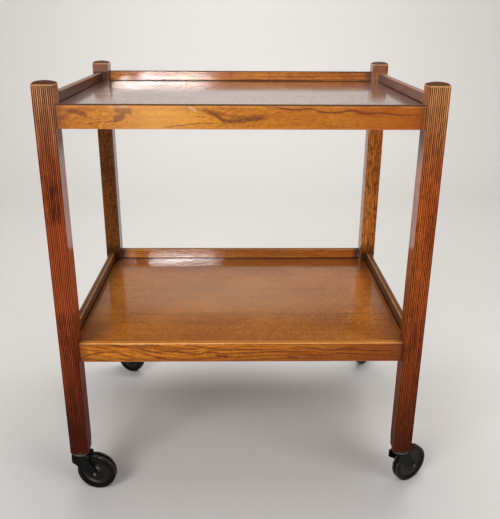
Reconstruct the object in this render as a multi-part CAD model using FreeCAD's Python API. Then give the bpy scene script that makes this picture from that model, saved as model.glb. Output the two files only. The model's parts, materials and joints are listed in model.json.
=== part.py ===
import FreeCAD, Part
import math
import os

# Two-tier wooden tea trolley on four swivel castors. Millimetres, +Z up, the front
# towards -Y. The origin lies on the floor, midway between the four legs.

Vec = FreeCAD.Vector

# Frame
width = 620.0                 # over the outer faces of the legs, along X
depth = 466.0                 # over the outer faces of the legs, along Y
leg_side = 32.0               # square section of a leg
leg_top_height = 731.5        # corners of a leg's top above the floor
leg_dome_rise = 4.5           # crown of a leg's top above its corners
leg_arris = 0.8               # chamfer down a leg's plain edges
foot_chamfer_depth = 5.0      # relief at the foot, on the face that looks inwards
foot_chamfer_height = 18.0

# Reeding down the outward face of each leg
reed_count = 10
reed_margin = 1.3             # flat arris left at each side of the reeds
reed_rise = 1.0               # height of a reed above the quirk beside it

# Rails
rail_thickness = 11.0
cross_rail_recess = 6.0       # front and back rails, behind the legs' outer faces
side_rail_recess = 7.0        # side rails, inside the legs' outer faces
rail_edge_round = 1.6         # rounding of the rails' top edges
rail_end_chamfer = 1.2        # small V where the front rails meet the legs
tenon_length = 12.0
tenon_cheek = 2.0             # taken off each face of a rail to leave its tenon
tenon_shoulder = 6.0          # taken off the top and bottom edges
tenon_clearance = 0.1

# Upper tray, heights measured up from the underside of its rails
leg_above_gallery = 19.0      # a leg's top corners above the side rails
upper_front_height = 36.5
upper_side_height = 47.0
upper_back_height = 49.5
upper_surface_height = 29.7

# Lower shelf, measured the same way
lower_underside = 266.5
lower_front_height = 36.0
lower_side_height = 44.0
lower_back_height = 47.0
lower_surface_height = 25.0

# Panels, rebated round the top to leave a tongue, housed in grooves in the rails
panel_thickness = 9.0
panel_rebate_depth = 3.0      # from the panel's face down to its tongue
groove_depth = 4.0
panel_clearance = 0.15        # round the edges and over the tongue
panel_leg_gap = 0.2           # between a panel and the rails and legs round its face

# Castors
wheel_radius = 36.0
crown_clearance = 0.3         # fork's crown above the top of the tyre
tyre_width = 16.0
tyre_thickness = 8.5
tyre_edge_radius = 3.0
castor_trail = 27.0           # wheel axle behind the swivel axis
swivel_gap = 0.3              # between parts that turn past each other
running_clearance = 0.06      # round a shaft that turns
press_clearance = 0.02        # round a pin that stays put

stem_radius = 4.0
stem_depth = 36.0             # how far the stem reaches up into the leg
stem_tip_chamfer = 1.5
stem_head_radius = 6.5        # riveted end under the fork's crown
stem_head_height = 2.2

cup_radius = 15.5
cup_height = 6.4
cup_wall = 1.6
cup_shoulder = 3.0

fork_width = 26.0             # over the two cheeks
fork_plate = 2.0
fork_bend = 2.2               # inner radius of the bend from crown to cheek
crown_front = 15.0            # ahead of the swivel axis
crown_back = 17.5             # behind it
cheek_front_height = 17.0     # straight front edge of a cheek
cheek_back_height = 15.0
cheek_boss_radius = 7.5
cheek_corner_round = 3.0

axle_radius = 3.0
axle_head_radius = 4.8
axle_head_height = 1.9

rim_width = 13.0
rim_depth = 5.5
web_half_width = 4.2
hub_root_radius = 12.0
hub_tip_radius = 7.0

# Underside of the upper rails, hung from the tops of the legs
upper_underside = leg_top_height - leg_above_gallery - upper_side_height

# Direction in which each castor trails, degrees anticlockwise from +X
castor_heading = {
    "front_left": -8.5,
    "front_right": 31.7,
    "rear_left": -30.0,
    "rear_right": 52.0,
}

corners = {
    "front_left": (-1, -1),
    "front_right": (1, -1),
    "rear_left": (-1, 1),
    "rear_right": (1, 1),
}

tiers = {
    "upper": (upper_underside, upper_front_height, upper_side_height, upper_back_height,
              upper_surface_height),
    "lower": (lower_underside, lower_front_height, lower_side_height, lower_back_height,
              lower_surface_height),
}

leg_inner_x = width / 2 - leg_side
leg_inner_y = depth / 2 - leg_side

# Levels of a castor, from the floor up to the underside of the leg
axle_height = wheel_radius
crown_base = 2 * wheel_radius + crown_clearance
crown_top = crown_base + fork_plate
cup_base = crown_top + swivel_gap
castor_height = cup_base + cup_height


def box(x_range, y_range, z_range):
    """Block between two bounds along each axis."""
    size = [high - low for low, high in (x_range, y_range, z_range)]
    return Part.makeBox(size[0], size[1], size[2], Vec(x_range[0], y_range[0], z_range[0]))


def prism(edges, direction):
    """Solid made by pushing a closed flat outline along a direction."""
    return Part.Face(Part.Wire(edges)).extrude(direction)


def lines(points):
    """Straight edges from each point to the next."""
    return [Part.makeLine(a, b) for a, b in zip(points, points[1:])]


def revolved(edges, centre, axis):
    """Solid made by turning a closed half section once round an axis."""
    return Part.Face(Part.Wire(edges)).revolve(centre, axis, 360)


def arc(start, middle, end):
    return Part.Arc(start, middle, end).toShape()


def lathe(points, centre, axis, radial):
    """Solid of revolution from (radius, height) points joined by straight lines."""
    ring = [centre + radial * radius + axis * height for radius, height in points]
    return revolved(lines(ring + ring[:1]), centre, axis)


def mirrored(shape, side_x, side_y):
    """A shape drawn at the front left corner, reflected to another corner."""
    if side_x > 0:
        shape = shape.mirror(Vec(0, 0, 0), Vec(1, 0, 0))
    if side_y > 0:
        shape = shape.mirror(Vec(0, 0, 0), Vec(0, 1, 0))
    return shape


# Legs

def reeded_outline():
    """Plan of the front left leg: three plain faces and one of half-round reeds."""
    left, right = -width / 2, -leg_inner_x
    front, back = -depth / 2, -leg_inner_y
    valley = front + reed_rise
    first, last = left + reed_margin, right - reed_margin
    pitch = (last - first) / reed_count
    edges = lines([
        Vec(last, valley), Vec(last, front), Vec(right, front),
        Vec(right, back - leg_arris), Vec(right - leg_arris, back),
        Vec(left + leg_arris, back), Vec(left, back - leg_arris),
        Vec(left, front), Vec(first, front), Vec(first, valley),
    ])
    for reed in range(reed_count):
        x = first + reed * pitch
        edges.append(arc(Vec(x, valley), Vec(x + pitch / 2, front), Vec(x + pitch, valley)))
    return edges


def domed_column(x, y):
    """Round column whose crowned top shapes the top of a leg."""
    reach = leg_side / math.sqrt(2) + 1
    dome_radius = (leg_side ** 2 / 2 + leg_dome_rise ** 2) / (2 * leg_dome_rise)
    centre = leg_top_height + leg_dome_rise - dome_radius

    def dome(radius):
        return Vec(radius, 0, centre + math.sqrt(dome_radius ** 2 - radius ** 2))

    top, middle, rim = dome(0), dome(reach / 2), dome(reach)
    edges = [arc(top, middle, rim)]
    edges += lines([rim, Vec(reach, 0, 0), Vec(0, 0, 0), top])
    column = revolved(edges, Vec(0, 0, 0), Vec(0, 0, 1))
    column.translate(Vec(x, y, 0))
    return column


def mortise_span(underside, height):
    """Heights between which the pocket for a rail's tenon lies."""
    low = underside + tenon_shoulder - tenon_clearance
    return low, underside + height - tenon_shoulder + tenon_clearance


def mortises(tier, is_rear):
    """The two pockets that a tier's rails need in the front left leg."""
    underside, front_height, side_height, back_height, surface = tier
    depth_in = tenon_length + tenon_clearance
    near = -depth / 2 + cross_rail_recess + tenon_cheek - tenon_clearance
    far = near + rail_thickness - 2 * tenon_cheek + 2 * tenon_clearance
    cross = box((-leg_inner_x - depth_in, -leg_inner_x), (near, far),
                mortise_span(underside, back_height if is_rear else front_height))
    near = -width / 2 + side_rail_recess + tenon_cheek - tenon_clearance
    far = near + rail_thickness - 2 * tenon_cheek + 2 * tenon_clearance
    side = box((near, far), (-leg_inner_y - depth_in, -leg_inner_y),
               mortise_span(underside, side_height))
    return [cross, side]


def foot_relief():
    """Wedge taken off the inward face of the foot."""
    back = -leg_inner_y
    corner = [
        Vec(-width / 2, back, castor_height),
        Vec(-width / 2, back - foot_chamfer_depth, castor_height),
        Vec(-width / 2, back, castor_height + foot_chamfer_height),
    ]
    return prism(lines(corner + corner[:1]), Vec(leg_side, 0, 0))


def leg(side_x, side_y):
    x = -width / 2 + leg_side / 2
    y = -depth / 2 + leg_side / 2
    height = leg_top_height + leg_dome_rise - castor_height
    shaft = prism(reeded_outline(), Vec(0, 0, height))
    shaft.translate(Vec(0, 0, castor_height))
    shaft = shaft.common(domed_column(x, y))
    bore = Part.makeCylinder(stem_radius + press_clearance, stem_depth + 1,
                             Vec(x, y, castor_height))
    cuts = [bore, foot_relief()]
    for tier in tiers.values():
        cuts += mortises(tier, side_y > 0)
    return mirrored(shaft.cut(cuts), side_x, side_y)


# Rails

def groove_span(surface):
    """Floor and roof of the groove that houses a panel's tongue."""
    return surface - panel_thickness, surface - panel_rebate_depth + panel_clearance


def rail_section(height, surface):
    """Section of a rail: rounded top edges and the groove that houses the panel."""
    r, t = rail_edge_round, rail_thickness
    floor_of_groove, roof_of_groove = groove_span(surface)
    bend = r * (1 - math.sqrt(0.5))
    edges = lines([Vec(0, 0, 0), Vec(0, 0, height - r)])
    edges.append(arc(Vec(0, 0, height - r), Vec(0, bend, height - bend), Vec(0, r, height)))
    edges += lines([Vec(0, r, height), Vec(0, t - r, height)])
    edges.append(arc(Vec(0, t - r, height), Vec(0, t - bend, height - bend), Vec(0, t, height - r)))
    edges += lines([
        Vec(0, t, height - r), Vec(0, t, roof_of_groove),
        Vec(0, t - groove_depth, roof_of_groove), Vec(0, t - groove_depth, floor_of_groove),
        Vec(0, t, floor_of_groove), Vec(0, t, 0), Vec(0, 0, 0),
    ])
    return edges


def rail(length, height, surface, has_chamfered_ends):
    """Rail along X, outer face at y = 0, with a stub tenon at each end."""
    board = prism(rail_section(height, surface), Vec(length, 0, 0))
    board.translate(Vec(-length / 2, 0, 0))
    if has_chamfered_ends:
        for end in (-1, 1):
            x = end * length / 2
            corner = [Vec(x, 0, 0), Vec(x - end * rail_end_chamfer, 0, 0), Vec(x, rail_end_chamfer, 0)]
            board = board.cut(prism(lines(corner + corner[:1]), Vec(0, 0, height)))
    reach = length / 2 + tenon_length
    tongue = (tenon_cheek, rail_thickness - tenon_cheek)
    span = (tenon_shoulder, height - tenon_shoulder)
    for end in (-1, 1):
        ends = sorted((end * (length / 2 - 1), end * reach))
        board = board.fuse(tenon(ends, tongue, span, surface))
    return board.removeSplitter()


def tenon(ends, tongue, span, surface):
    """Stub tenon, cut back where the panel's groove runs through its root."""
    block = box(ends, tongue, span)
    slot = box(ends, (rail_thickness - groove_depth, rail_thickness), groove_span(surface))
    return block.cut(slot)


def tier_rails(tier):
    """The front, back and two side rails of a tier, by name."""
    underside, front_height, side_height, back_height, surface = tier
    cross_length, side_length = 2 * leg_inner_x, 2 * leg_inner_y
    y = depth / 2 - cross_rail_recess
    x = width / 2 - side_rail_recess
    places = {
        "front": (cross_length, front_height, True, 0, Vec(0, -y, underside)),
        "right": (side_length, side_height, False, 90, Vec(x, 0, underside)),
        "back": (cross_length, back_height, False, 180, Vec(0, y, underside)),
        "left": (side_length, side_height, False, 270, Vec(-x, 0, underside)),
    }
    rails = {}
    for side, (length, height, has_chamfers, turn, place) in places.items():
        shape = rail(length, height, surface, has_chamfers)
        shape.rotate(Vec(0, 0, 0), Vec(0, 0, 1), turn)
        shape.translate(place)
        rails[side] = shape
    return rails


# Panels

def notched_slab(beyond_rails, levels):
    """Slab that reaches past the rails' inner faces, notched round the four legs."""
    reach_x = width / 2 - side_rail_recess - rail_thickness + beyond_rails
    reach_y = depth / 2 - cross_rail_recess - rail_thickness + beyond_rails
    notch_x = leg_inner_x - panel_leg_gap
    notch_y = leg_inner_y - panel_leg_gap
    along = box((-reach_x, reach_x), (-notch_y, notch_y), levels)
    across = box((-notch_x, notch_x), (-reach_y, reach_y), levels)
    return along.fuse(across)


def panel(tier):
    """Panel with its face between the rails and its tongue in their grooves."""
    underside, front_height, side_height, back_height, surface = tier
    top = underside + surface
    tongue_top = top - panel_rebate_depth
    tongue = notched_slab(groove_depth - panel_clearance, (top - panel_thickness, tongue_top))
    face = notched_slab(-panel_leg_gap, (tongue_top, top))
    return tongue.fuse(face).removeSplitter()


# Castors, drawn with the swivel axis on Z and the wheel trailing towards +X

def castor_stem():
    """Pin from the leg down through the cup and crown, riveted over below."""
    tip = castor_height + stem_depth
    base = crown_base - swivel_gap
    points = [
        (0, tip), (stem_radius - stem_tip_chamfer, tip), (stem_radius, tip - stem_tip_chamfer),
        (stem_radius, base), (stem_head_radius, base),
        (stem_head_radius, base - stem_head_height / 2),
        (stem_head_radius - stem_head_height / 2, base - stem_head_height),
        (0, base - stem_head_height),
    ]
    return lathe(points, Vec(0, 0, 0), Vec(0, 0, 1), Vec(1, 0, 0))


def castor_cup():
    """Pressed bearing cup against the foot of the leg, open below."""
    roof = castor_height - cup_wall
    hole = stem_radius + press_clearance
    side = cup_radius - cup_wall
    bend = cup_shoulder * (1 - math.sqrt(0.5))
    edges = [arc(Vec(cup_radius - cup_shoulder, 0, castor_height),
                 Vec(cup_radius - bend, 0, castor_height - bend),
                 Vec(cup_radius, 0, castor_height - cup_shoulder))]
    edges += lines([
        Vec(cup_radius, 0, castor_height - cup_shoulder), Vec(cup_radius, 0, cup_base),
        Vec(side, 0, cup_base), Vec(side, 0, roof), Vec(hole, 0, roof),
        Vec(hole, 0, castor_height), Vec(cup_radius - cup_shoulder, 0, castor_height),
    ])
    return revolved(edges, Vec(0, 0, 0), Vec(0, 0, 1))


def castor_bearing():
    """Thrust ring that fills the cup and carries the leg's load to the crown."""
    inner = stem_radius + running_clearance
    outer = cup_radius - cup_wall - press_clearance
    roof = castor_height - cup_wall
    points = [(inner, cup_base), (outer, cup_base), (outer, roof), (inner, roof)]
    return lathe(points, Vec(0, 0, 0), Vec(0, 0, 1), Vec(1, 0, 0))


def tangent_point(point, centre, radius, side):
    """Where the line from a point touches a circle in the XZ plane, on one side."""
    offset = point - centre
    angle = math.atan2(offset.z, offset.x) + side * math.acos(radius / offset.Length)
    return centre + Vec(radius * math.cos(angle), 0, radius * math.sin(angle))


def cheek_outline():
    """Side view of the fork: square at the crown, sweeping back to the axle boss."""
    boss = Vec(castor_trail, 0, axle_height)
    front = Vec(-crown_front, 0, crown_top - cheek_front_height)
    back = Vec(crown_back, 0, crown_top - cheek_back_height)
    low = tangent_point(front, boss, cheek_boss_radius, 1)
    high = tangent_point(back, boss, cheek_boss_radius, -1)
    away = boss * 2 - (low + high) / 2 - boss
    away = boss + away.normalize() * cheek_boss_radius
    edges = lines([high, back, Vec(crown_back, 0, crown_top),
                   Vec(-crown_front, 0, crown_top), front, low])
    edges.append(arc(low, away, high))
    return edges


def fork_section():
    """End view of the fork: crown, two bends and two cheeks of one pressed plate."""
    half, outer = fork_width / 2, fork_bend + fork_plate
    inside = half - fork_plate
    x, foot = -crown_front - 1, axle_height - cheek_boss_radius - 1
    out_mid, in_mid = outer * (1 - math.sqrt(0.5)), fork_bend * (1 - math.sqrt(0.5))

    def at(y, z):
        return Vec(x, y, z)

    edges = []
    for side in (1, -1):
        edges.append(arc(at(side * half, crown_top - outer),
                         at(side * (half - out_mid), crown_top - out_mid),
                         at(side * (half - outer), crown_top)))
        edges.append(arc(at(side * inside, crown_base - fork_bend),
                         at(side * (inside - in_mid), crown_base - in_mid),
                         at(side * (inside - fork_bend), crown_base)))
        edges += lines([at(side * half, crown_top - outer), at(side * half, foot),
                        at(side * inside, foot), at(side * inside, crown_base - fork_bend)])
    edges += lines([at(half - outer, crown_top), at(outer - half, crown_top)])
    edges += lines([at(inside - fork_bend, crown_base), at(fork_bend - inside, crown_base)])
    return Part.__sortEdges__(edges)


def castor_fork():
    """Pressed fork: the bent section trimmed to the cheeks' side outline."""
    length = crown_front + castor_trail + cheek_boss_radius + 2
    channel = prism(fork_section(), Vec(length, 0, 0))
    outline = prism(cheek_outline(), Vec(0, fork_width, 0))
    outline.translate(Vec(0, -fork_width / 2, 0))
    corners_to_round = [
        edge for edge in outline.Edges
        if abs(edge.tangentAt(edge.FirstParameter).y) > 0.99
        and abs(edge.Vertexes[0].Z - crown_top) > 1
        and edge.Vertexes[0].X < crown_back + 0.01
    ]
    outline = outline.makeFillet(cheek_corner_round, corners_to_round)
    swivel_hole = Part.makeCylinder(stem_radius + running_clearance, fork_plate + 2,
                                    Vec(0, 0, crown_base - 1))
    axle_hole = Part.makeCylinder(axle_radius + press_clearance, fork_width + 2,
                                  Vec(castor_trail, -fork_width / 2 - 1, axle_height), Vec(0, 1, 0))
    return channel.common(outline).cut([swivel_hole, axle_hole])


def castor_axle():
    """Axle pin with a domed rivet head outside each cheek."""
    half = fork_width / 2
    points = [(0, -half - axle_head_height), (axle_head_radius * 0.55, -half - axle_head_height),
              (axle_head_radius, -half - axle_head_height * 0.35), (axle_head_radius, -half),
              (axle_radius, -half)]
    points += [(radius, -height) for radius, height in reversed(points)]
    return lathe(points, Vec(castor_trail, 0, axle_height), Vec(0, 1, 0), Vec(1, 0, 0))


def castor_wheel():
    """Moulded wheel: raised rim, recessed web and a hub that fills the fork."""
    rim = wheel_radius - tyre_thickness
    bore = axle_radius + running_clearance
    hub_end = fork_width / 2 - fork_plate - swivel_gap
    half = [(bore, hub_end), (hub_tip_radius, hub_end), (hub_root_radius, web_half_width),
            (rim - rim_depth, web_half_width), (rim - rim_depth + 1, rim_width / 2),
            (rim, rim_width / 2)]
    points = half + [(radius, -height) for radius, height in reversed(half)]
    return lathe(points, Vec(castor_trail, 0, axle_height), Vec(0, 1, 0), Vec(1, 0, 0))


def castor_tyre():
    """Tyre with round shoulders, stretched over the wheel's rim."""
    centre = Vec(castor_trail, 0, axle_height)
    half, r = tyre_width / 2, tyre_edge_radius
    inner = wheel_radius - tyre_thickness + press_clearance
    bend = r * (1 - math.sqrt(0.5))
    outer = wheel_radius

    def at(radius, y):
        return centre + Vec(radius, y, 0)

    edges = lines([at(outer, r - half), at(outer, half - r)])
    edges.append(arc(at(outer, half - r), at(outer - bend, half - bend), at(outer - r, half)))
    edges += lines([at(outer - r, half), at(inner, half), at(inner, -half), at(outer - r, -half)])
    edges.append(arc(at(outer - r, -half), at(outer - bend, bend - half), at(outer, r - half)))
    return revolved(edges, centre, Vec(0, 1, 0))


castor_pieces = {
    "stem": castor_stem,
    "cup": castor_cup,
    "bearing": castor_bearing,
    "fork": castor_fork,
    "axle": castor_axle,
    "wheel": castor_wheel,
    "tyre": castor_tyre,
}


def save(name, shape):
    shape.exportStep("parts/" + name + ".step")


os.makedirs("parts", exist_ok=True)

for corner, (side_x, side_y) in corners.items():
    save("leg_" + corner, leg(side_x, side_y))

for level, tier in tiers.items():
    for side, shape in tier_rails(tier).items():
        save(level + "_" + side + "_rail", shape)

save("upper_tray_panel", panel(tiers["upper"]))
save("lower_shelf_panel", panel(tiers["lower"]))

for piece, make in castor_pieces.items():
    shape = make()
    for corner, (side_x, side_y) in corners.items():
        placed = shape.copy()
        placed.rotate(Vec(0, 0, 0), Vec(0, 0, 1), castor_heading[corner])
        placed.translate(Vec(side_x * (width - leg_side) / 2, side_y * (depth - leg_side) / 2, 0))
        save("castor_" + piece + "_" + corner, placed)
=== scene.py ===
import json
import math
import bmesh
import bpy
from mathutils import Matrix, Vector


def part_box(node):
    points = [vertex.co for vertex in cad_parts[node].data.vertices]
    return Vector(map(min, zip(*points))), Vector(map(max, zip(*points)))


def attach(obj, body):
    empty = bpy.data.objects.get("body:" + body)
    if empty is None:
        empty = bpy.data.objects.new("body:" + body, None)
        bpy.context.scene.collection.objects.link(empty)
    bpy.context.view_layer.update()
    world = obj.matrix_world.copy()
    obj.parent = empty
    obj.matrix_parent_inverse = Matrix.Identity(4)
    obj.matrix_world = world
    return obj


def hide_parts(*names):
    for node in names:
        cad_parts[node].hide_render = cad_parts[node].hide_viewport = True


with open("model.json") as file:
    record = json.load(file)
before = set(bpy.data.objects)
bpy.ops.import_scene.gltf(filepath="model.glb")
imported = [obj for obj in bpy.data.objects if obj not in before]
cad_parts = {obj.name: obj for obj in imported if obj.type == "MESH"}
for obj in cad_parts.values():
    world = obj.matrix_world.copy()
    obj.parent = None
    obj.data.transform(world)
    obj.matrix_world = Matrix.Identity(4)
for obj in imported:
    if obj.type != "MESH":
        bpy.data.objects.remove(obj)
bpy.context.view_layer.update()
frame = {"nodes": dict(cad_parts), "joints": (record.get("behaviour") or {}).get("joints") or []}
nodes = frame["nodes"]
joints = {joint["name"]: joint for joint in frame["joints"]}
cornerNames = ["front_left", "front_right", "rear_left", "rear_right"]
frameBody = "trolley_frame"

legBoxes = {corner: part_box("leg_" + corner) for corner in cornerNames}
innerLeft = legBoxes["front_left"][1].x  # inner faces of the legs
innerRight = legBoxes["front_right"][0].x
innerFront = legBoxes["front_left"][1].y
innerRear = legBoxes["rear_left"][0].y
legSide = legBoxes["front_right"][1].x - innerRight
panelNodes = {"upper": "upper_tray_panel", "lower": "lower_shelf_panel"}
hair = 1e-5  # metres, less than which two places count as one
mergeReach = 1e-6  # metres, within which corners are joined
creaseAngle = 35  # degrees between two faces from which their edge is drawn sharp


def tone(red, green, blue):
    # an 8-bit screen colour as the linear colour that a shader takes
    def linear(value):
        part = value / 255
        return part / 12.92 if part <= 0.04045 else ((part + 0.055) / 1.055) ** 2.4
    return (linear(red), linear(green), linear(blue), 1.0)


class Field:
    # a number, vector or colour that varies over a surface, for use in ordinary sums
    def __init__(self, tree, socket):
        self.tree, self.socket = tree, socket

    def __add__(self, other):
        return calc("ADD", self, other)

    def __sub__(self, other):
        return calc("SUBTRACT", self, other)

    def __rsub__(self, other):
        return calc("SUBTRACT", other, self)

    def __mul__(self, other):
        return calc("MULTIPLY", self, other)

    def __truediv__(self, other):
        return calc("DIVIDE", self, other)

    def __abs__(self):
        return calc("ABSOLUTE", self)


def feed(socket, value):
    if isinstance(value, Field):
        value.tree.links.new(value.socket, socket)
    else:
        socket.default_value = value


def addNode(tree, kind, inputs, **settings):
    node = tree.nodes.new("ShaderNode" + kind)
    for setting, value in settings.items():
        setattr(node, setting, value)
    for key, value in inputs.items():
        feed(node.inputs[key], value)
    return node


def calc(operation, first, second=0.0):
    tree = first.tree if isinstance(first, Field) else second.tree
    node = addNode(tree, "Math", {0: first, 1: second}, operation=operation)
    return Field(tree, node.outputs[0])


def largest(first, second):
    return calc("MAXIMUM", first, second)


def ease(value, low, high, outLow=0.0, outHigh=1.0, course="SMOOTHSTEP"):
    # change from outLow at low to outHigh at high
    ends = {"Value": value, "From Min": low, "From Max": high, "To Min": outLow, "To Max": outHigh}
    node = addNode(value.tree, "MapRange", ends, interpolation_type=course)
    return Field(value.tree, node.outputs["Result"])


def fade(value, low, high, depth=1.0):
    return ease(value, low, high, depth, 0.0)


def near(level, span):
    # a span that is given from a level
    return level + span[0], level + span[1]


def band(value, centre, halfWidth, softness):
    # 1 within halfWidth of centre, fading over softness
    return fade(abs(value - centre), halfWidth, halfWidth + softness)


def blend(factor, first, second, mode="MIX"):
    node = addNode(factor.tree, "Mix", {0: factor, 6: first, 7: second}, data_type="RGBA", blend_type=mode)
    return Field(factor.tree, node.outputs[2])


def noise(vector, scale, detail, roughness, distortion=0.0, output="Fac"):
    # soft random texture, with scale as its repeats per metre along each axis
    tree = vector.tree
    stretched = Field(tree, addNode(tree, "Mapping", {"Vector": vector, "Scale": scale}).outputs[0])
    node = addNode(tree, "TexNoise", {"Vector": stretched, "Scale": 1.0, "Detail": detail,
                                      "Roughness": roughness, "Distortion": distortion})
    return Field(tree, node.outputs[output])


def emboss(height, strength, distance, socket):
    depths = {"Strength": strength, "Distance": distance, "Height": height}
    feed(socket, Field(height.tree, addNode(height.tree, "Bump", depths).outputs["Normal"]))


def separate(vector, kind="SeparateXYZ"):
    node = addNode(vector.tree, kind, {0: vector})
    return [Field(vector.tree, socket) for socket in node.outputs]


def startMaterial(name):
    # a material with its shader, and the place on the object as a vector and as x, y and z
    material = bpy.data.materials.new(name)
    material.use_nodes = True
    tree = material.node_tree
    tree.nodes.clear()
    shader = addNode(tree, "BsdfPrincipled", {})
    addNode(tree, "OutputMaterial", {"Surface": Field(tree, shader.outputs["BSDF"])})
    vector = Field(tree, addNode(tree, "TexCoord", {}).outputs["Object"])
    return material, shader, vector, separate(vector)


def grainSpace(parts, grain, shift):
    # (along, across, across) coordinates in metres, moved to a board's own place in the log
    order = {"X": (0, 1, 2), "Y": (1, 0, 2), "Z": (2, 0, 1)}[grain]
    moved = {slot: parts[source] + shift[slot] for slot, source in enumerate(order)}
    joined = Field(parts[0].tree, addNode(parts[0].tree, "CombineXYZ", moved).outputs[0])
    return joined, separate(joined)


# scales are repeats per metre along and across the grain, spans are where a noise turns into a mark
oakLook = {
    "ringPitch": 0.0042,  # spacing of the growth rings
    "ringWarp": 0.010,
    "ringDepth": 0.62,  # how dark the rings are
    "bow": (0.0, 1.0, 0.0),  # start, end and height of a bend in the grain
    "warpScale": (2.6, 15.0),
    "wobbleScale": (16.0, 150.0),
    "wobble": 0.8,  # share of a ring's pitch
    "yearRise": (0.0, 0.14),  # shares of a ring in which it darkens and lightens again
    "yearFall": (0.20, 0.72),
    "strengthScale": (9.0, 210.0),
    "strengthSpan": (0.28, 0.60),
    "faintYear": 0.25,
    "cloudScale": (5.0, 22.0),  # patches of colour
    "cloudSpan": (0.32, 0.68),
    "mottleScale": (60.0, 170.0),
    "mottleSpan": (0.44, 0.66),
    "mottleDepth": 0.35,
    "poreScale": (130.0, 1300.0),
    "poreSpan": (0.50, 0.64),
    "poreDepth": 0.55,
    "poreDull": 0.30,  # how far the pores break the varnish
    "poreRough": 0.12,
    "lateWood": 0.45,  # share of the pores that lie outside the rings
    "fleckScale": (330.0, 150.0),
    "fleckSpan": (0.52, 0.68),
    "fleckDepth": 0.20,
    "pore": tone(52, 24, 11),
    "fleck": tone(214, 150, 84),
    "roughness": 0.40,
    "smear": (-0.05, 0.06),  # how far the roughness strays
    "smearScale": (9.0, 9.0),
    "dullRough": 0.45,
    "specular": 0.20,
    "coat": 0.12,
    "coatRoughness": 0.16,
    "bump": 0.25,
    "bumpDistance": 0.0004,
    "rippleScale": (60.0, 60.0),
    "rippleHeight": 0.35,
    "ringHeight": 0.3,
    "filmPores": 0.05,  # how much of the pores shows in the varnish's own surface
    "patchScale": (28.0, 160.0),
    "patchSpan": (0.40, 0.60),
    "coatPatch": 0.0,  # how far the varnish is worn thin in patches
}


def boardNoise(vector, board, key, detail, roughness, distortion=0.0, output="Fac"):
    lengthwise, crosswise = board[key]
    return noise(vector, (lengthwise, crosswise, crosswise), detail, roughness, distortion, output)


def ringShade(along, across, board):
    # growth rings round a pith that lies off the board, dark where each year's pores begin
    warp = separate(boardNoise(along, board, "warpScale", 2.0, 0.45, output="Color"), "SeparateColor")
    start, stop, height = board["bow"]
    aside, upward = [across[axis + 1] - board["pith"][axis] + (warp[axis] - 0.5) * board["ringWarp"]
                     for axis in (0, 1)]
    upward = upward + ease(across[0], start, stop, 0.0, height)
    wobble = boardNoise(along, board, "wobbleScale", 2.0, 0.5) * (board["ringPitch"] * board["wobble"])
    radius = calc("SQRT", aside * aside + upward * upward) + wobble
    phase = calc("FRACT", radius / board["ringPitch"])
    year = ease(phase, *board["yearRise"]) * fade(phase, *board["yearFall"])
    # each year has its own strength, which comes and goes along the board
    strength = boardNoise(along, board, "strengthScale", 1.0, 0.5)
    return year * ease(strength, *board["strengthSpan"], board["faintYear"], 1.0)


def oakMaterial(name, board, marks):
    board = {**oakLook, **board}
    material, shader, vector, parts = startMaterial(name)
    along, across = grainSpace(parts, board["grain"], board["shift"])
    rings = ringShade(along, across, board)
    mottle = boardNoise(along, board, "mottleScale", 4.0, 0.65, 0.6)
    cloud = boardNoise(along, board, "cloudScale", 3.0, 0.55, 0.3)
    pores = boardNoise(along, board, "poreScale", 2.0, 0.6)
    flecks = boardNoise(along, board, "fleckScale", 3.0, 0.6, 1.2)

    pores = ease(pores, *board["poreSpan"]) * ease(rings, 0.0, 0.8, board["lateWood"], 1.0)
    colour = blend(ease(cloud, *board["cloudSpan"]), board["pale"], board["mid"])
    colour = blend(rings * board["ringDepth"], colour, board["dark"])
    colour = blend(ease(mottle, *board["mottleSpan"]) * board["mottleDepth"], colour, board["dark"])
    colour = blend(ease(flecks, *board["fleckSpan"]) * board["fleckDepth"], colour, board["fleck"])
    colour = blend(pores * board["poreDepth"], colour, board["pore"])
    colour, dull, gloss = marks(colour, vector, parts)
    feed(shader.inputs["Base Color"], colour)

    smear = boardNoise(vector, board, "smearScale", 3.0, 0.6)
    smear = ease(smear, 0.3, 0.7, *near(board["roughness"], board["smear"]))
    feed(shader.inputs["Roughness"], smear + pores * board["poreRough"] + dull * board["dullRough"])
    feed(shader.inputs["Specular IOR Level"], board["specular"])
    # the varnish is thin over open pores, and gone where dirt or wear has dulled it
    coat = (1.0 - pores * board["poreDull"]) * (1.0 - dull) * (gloss * board["coat"])
    if board["coatPatch"]:
        thin = boardNoise(along, board, "patchScale", 3.0, 0.6)
        coat = coat * ease(thin, *board["patchSpan"], 1.0 - board["coatPatch"], 1.0)
    feed(shader.inputs["Coat Weight"], coat)
    feed(shader.inputs["Coat Roughness"], board["coatRoughness"])
    # the varnish lies smoother than the wood under it
    ripple = boardNoise(vector, board, "rippleScale", 2.0, 0.5) * board["rippleHeight"]
    bare, film = ripple - (pores + rings * board["ringHeight"]), ripple - pores * board["filmPores"]
    for height, socket in ((bare, "Normal"), (film, "Coat Normal")):
        emboss(height, board["bump"], board["bumpDistance"], shader.inputs[socket])
    return material


legShape = {
    "reedCount": 10,
    "reedMargin": 0.0013,
    "reedRise": 0.0010,
    "reedSteps": 8,
    "rows": (0.0, 0.0005, 0.0014, 0.004, 0.009, 0.016, 0.023, 0.028, 0.0306, 0.0315),
    "domeRise": 0.0045,
    "rimDrop": 0.0007,
    "rimWidth": 0.0011,
    "quirkReach": 0.0002,  # part of the face behind the reeds' crests that the rim's easing skips
    "arris": 0.0009,
    "arrisSteps": 3,
    "footDepth": 0.005,
    "footHeight": 0.018,
    "lengthCuts": 30,
}

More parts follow.
